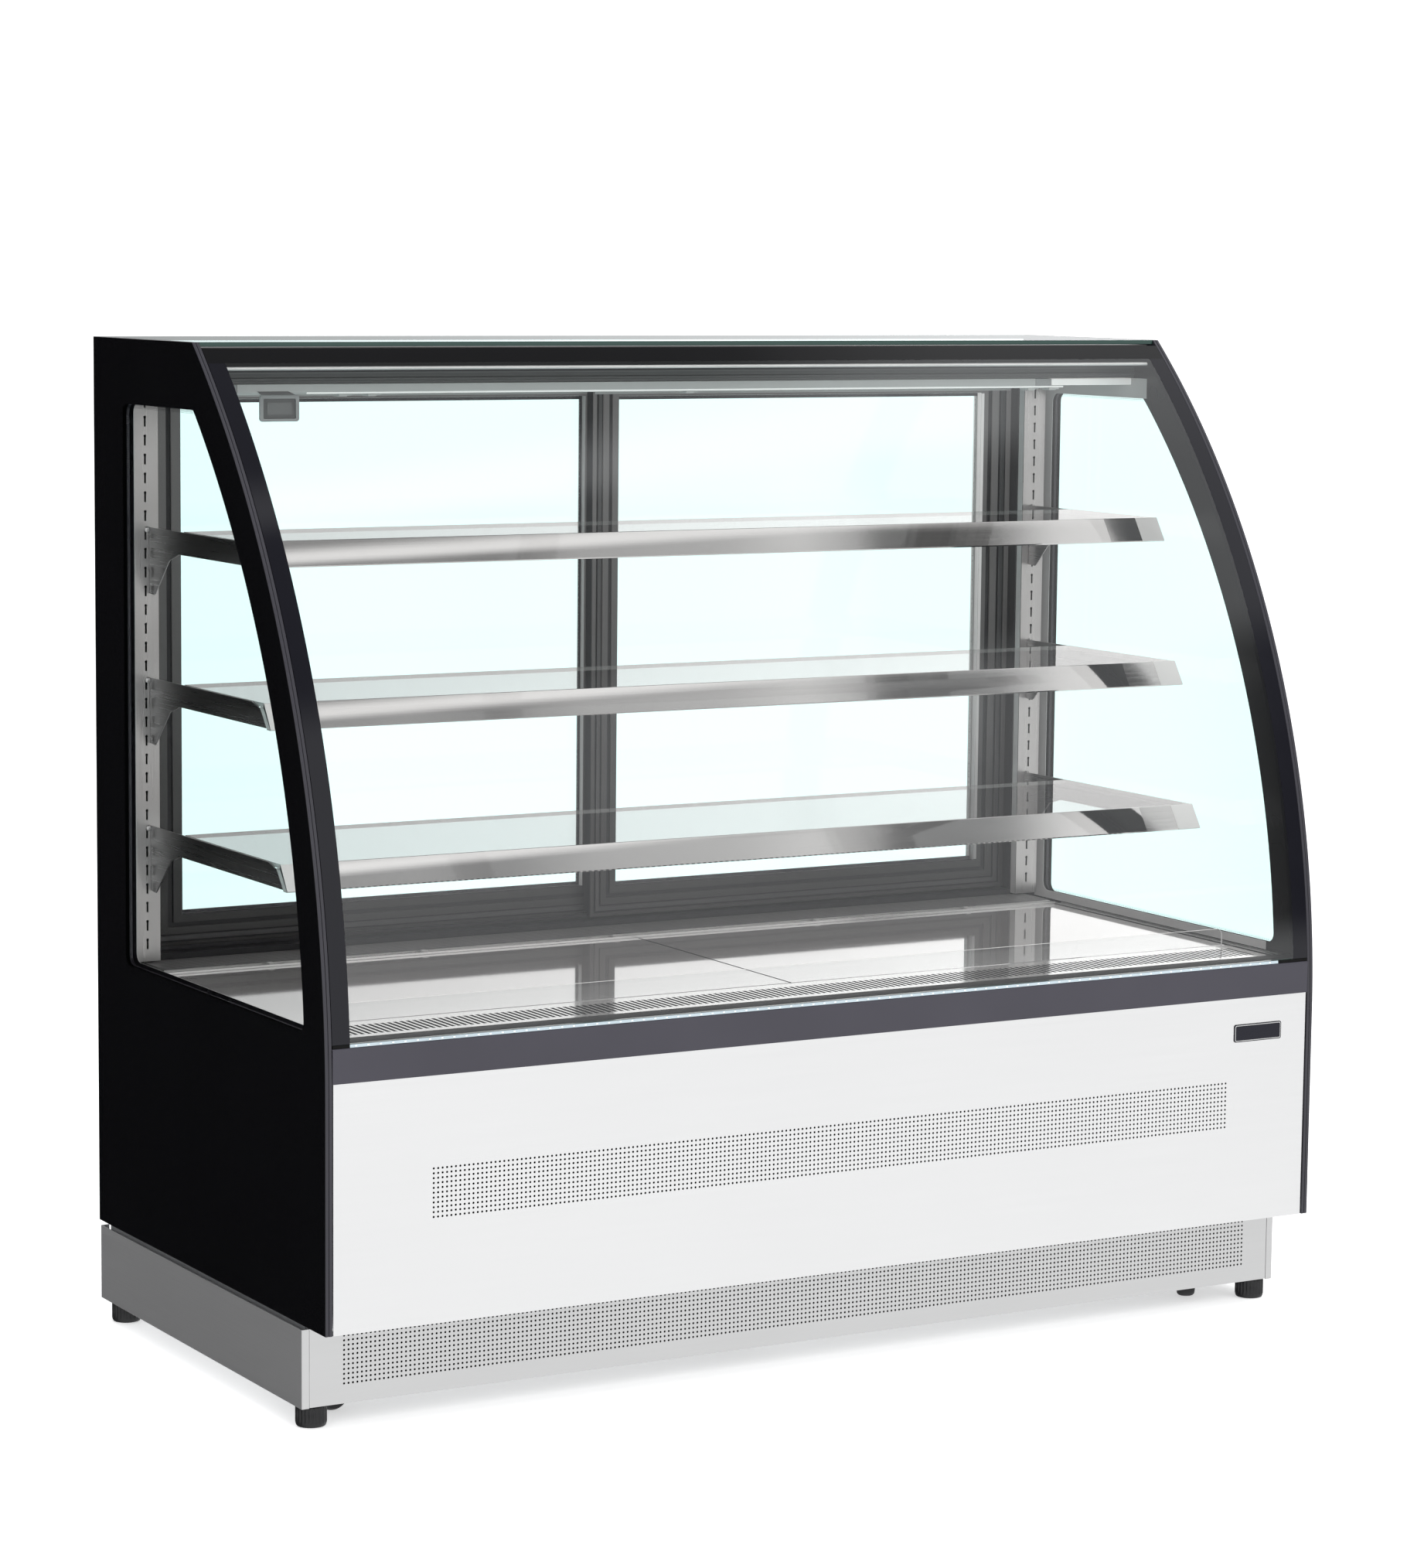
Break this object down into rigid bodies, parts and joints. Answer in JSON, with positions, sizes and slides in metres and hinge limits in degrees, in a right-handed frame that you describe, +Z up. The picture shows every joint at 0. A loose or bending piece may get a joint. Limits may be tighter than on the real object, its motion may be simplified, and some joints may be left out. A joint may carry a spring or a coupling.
{
  "type": "refrigerated deli case",
  "caption": "Serve-over refrigerated deli case with a curved lift-up front glass, hanging glass shelves, a glass top, glazed ends and rear sliding doors",
  "frame": {"origin": "on the floor under the middle of the case", "axes": "+X runs along the case to the right of someone at the front, -Y is the front (customer side), +Z is up"},
  "size_m": [1.5, 0.73, 1.335],
  "materials": {
    "enamelled_glass": "gloss black enamel border, clear in the middle",
    "clear_glass": "clear polished float glass",
    "black_frame": "black powder coat and black profile, satin",
    "dark_rail": "dark grey, satin",
    "bright_panel": "stainless sheet, satin",
    "side_steel": "stainless sheet, brushed",
    "polished_steel": "stainless sheet, mirror polished",
    "shelf_steel": "stainless sheet, brushed",
    "galvanised": "galvanised steel tube, dull",
    "foamed_liner": "foam-filled shell, light grey coat",
    "lamp_diffuser": "opal diffuser",
    "display_housing": "grey housing with a dark screen",
    "black_plastic": "black nylon",
    "wheel_rubber": "black rubber tread",
    "compressor_paint": "black enamel",
    "coil_fins": "thin fins, dull"
  },
  "bodies": {
    "case": {"air_guard": "clear_glass", "base_frame": "galvanised", "canopy": "black_frame", "canopy_lamp": "lamp_diffuser", "compressor": "compressor_paint", "condenser": "coil_fins", "controller": "black_plastic", "deck_pan_left": "polished_steel", "deck_pan_right": "polished_steel", "end_frame_left": "black_frame", "end_frame_right": "black_frame", "end_glass_left": "enamelled_glass", "end_glass_right": "enamelled_glass", "end_inner_glass_left": "clear_glass", "end_inner_glass_right": "clear_glass", "evaporator": "coil_fins", "front_air_grille": "polished_steel", "front_panel": "bright_panel", "front_rail": "dark_rail", "insulated_body": "foamed_liner", "pilaster_left": "shelf_steel", "pilaster_right": "shelf_steel", "plinth_front": "bright_panel", "plinth_left": "side_steel", "plinth_right": "side_steel", "rear_frame": "black_frame", "rear_panel": "side_steel", "shelf1_bracket_left": "shelf_steel", "shelf1_bracket_right": "shelf_steel", "shelf1_glass": "clear_glass", "shelf1_trim": "polished_steel", "shelf2_bracket_left": "shelf_steel", "shelf2_bracket_right": "shelf_steel", "shelf2_glass": "clear_glass", "shelf2_trim": "polished_steel", "shelf3_bracket_left": "shelf_steel", "shelf3_bracket_right": "shelf_steel", "shelf3_glass": "clear_glass", "shelf3_trim": "polished_steel", "temperature_display": "display_housing", "top_glass": "clear_glass"},
    "front_glass": {"front_glass": "clear_glass", "glass_hinge_bar": "black_frame"},
    "door_left": {"door_frame_left": "black_frame", "door_glass_left": "clear_glass"},
    "door_right": {"door_frame_right": "black_frame", "door_glass_right": "clear_glass"},
    "swivel_left": {"castor_fork_front_left": "black_plastic"},
    "swivel_right": {"castor_fork_front_right": "black_plastic"},
    "wheel_front_left": {"castor_wheel_front_left": "wheel_rubber"},
    "wheel_front_right": {"castor_wheel_front_right": "wheel_rubber"},
    "wheel_rear_left": {"castor_wheel_rear_left": "wheel_rubber"},
    "wheel_rear_right": {"castor_wheel_rear_right": "wheel_rubber"},
    "foot_front_left": {"foot_front_left": "black_plastic"},
    "foot_front_right": {"foot_front_right": "black_plastic"},
    "foot_rear_left": {"foot_rear_left": "black_plastic"},
    "foot_rear_right": {"foot_rear_right": "black_plastic"},
    "condenser_fan": {"condenser_fan": "black_plastic"},
    "evaporator_fan": {"evaporator_fan": "black_plastic"},
    "power_switch": {"power_switch": "black_plastic"}
  },
  "joints": [
    {"name": "front_glass_lift", "type": "hinge", "parent": "case", "child": "front_glass", "pos_m": [0, 0.0345, 1.3265], "axis": [-1, 0, 0], "range_deg": [0, 50]},
    {"name": "door_left_slide", "type": "slide", "parent": "case", "child": "door_left", "axis": [1, 0, 0], "range_m": [0, 0.64]},
    {"name": "door_right_slide", "type": "slide", "parent": "case", "child": "door_right", "axis": [-1, 0, 0], "range_m": [0, 0.64]},
    {"name": "castor_swivel_left", "type": "hinge", "parent": "case", "child": "swivel_left", "pos_m": [-0.655, -0.213, 0.08], "axis": [0, 0, 1], "continuous": true},
    {"name": "castor_swivel_right", "type": "hinge", "parent": "case", "child": "swivel_right", "pos_m": [0.655, -0.213, 0.08], "axis": [0, 0, 1], "continuous": true},
    {"name": "wheel_front_left_spin", "type": "hinge", "parent": "swivel_left", "child": "wheel_front_left", "pos_m": [-0.67456, -0.21716, 0.026], "axis": [-0.2079, 0.9781, 0], "continuous": true},
    {"name": "wheel_front_right_spin", "type": "hinge", "parent": "swivel_right", "child": "wheel_front_right", "pos_m": [0.6444, -0.22996, 0.026], "axis": [-0.848, 0.5299, 0], "continuous": true},
    {"name": "wheel_rear_left_spin", "type": "hinge", "parent": "case", "child": "wheel_rear_left", "pos_m": [-0.655, 0.265, 0.026], "axis": [0, 1, 0], "continuous": true},
    {"name": "wheel_rear_right_spin", "type": "hinge", "parent": "case", "child": "wheel_rear_right", "pos_m": [0.655, 0.265, 0.026], "axis": [0, 1, 0], "continuous": true},
    {"name": "foot_front_left_screw", "type": "hinge", "parent": "case", "child": "foot_front_left", "pos_m": [-0.7255, -0.27, 0.08], "axis": [0, 0, 1], "continuous": true},
    {"name": "foot_front_right_screw", "type": "hinge", "parent": "case", "child": "foot_front_right", "pos_m": [0.7255, -0.27, 0.08], "axis": [0, 0, 1], "continuous": true},
    {"name": "foot_rear_left_screw", "type": "hinge", "parent": "case", "child": "foot_rear_left", "pos_m": [-0.7255, 0.329, 0.08], "axis": [0, 0, 1], "continuous": true},
    {"name": "foot_rear_right_screw", "type": "hinge", "parent": "case", "child": "foot_rear_right", "pos_m": [0.7255, 0.329, 0.08], "axis": [0, 0, 1], "continuous": true},
    {"name": "condenser_fan_spin", "type": "hinge", "parent": "case", "child": "condenser_fan", "pos_m": [-0.33, -0.147, 0.226], "axis": [0, 1, 0], "continuous": true},
    {"name": "evaporator_fan_spin", "type": "hinge", "parent": "case", "child": "evaporator_fan", "pos_m": [0, -0.129, 0.42], "axis": [0, 1, 0], "continuous": true},
    {"name": "power_switch_rocker", "type": "hinge", "parent": "case", "child": "power_switch", "pos_m": [0.606, 0.356, 0.262], "axis": [-1, 0, 0], "range_deg": [0, 12]}
  ]
}
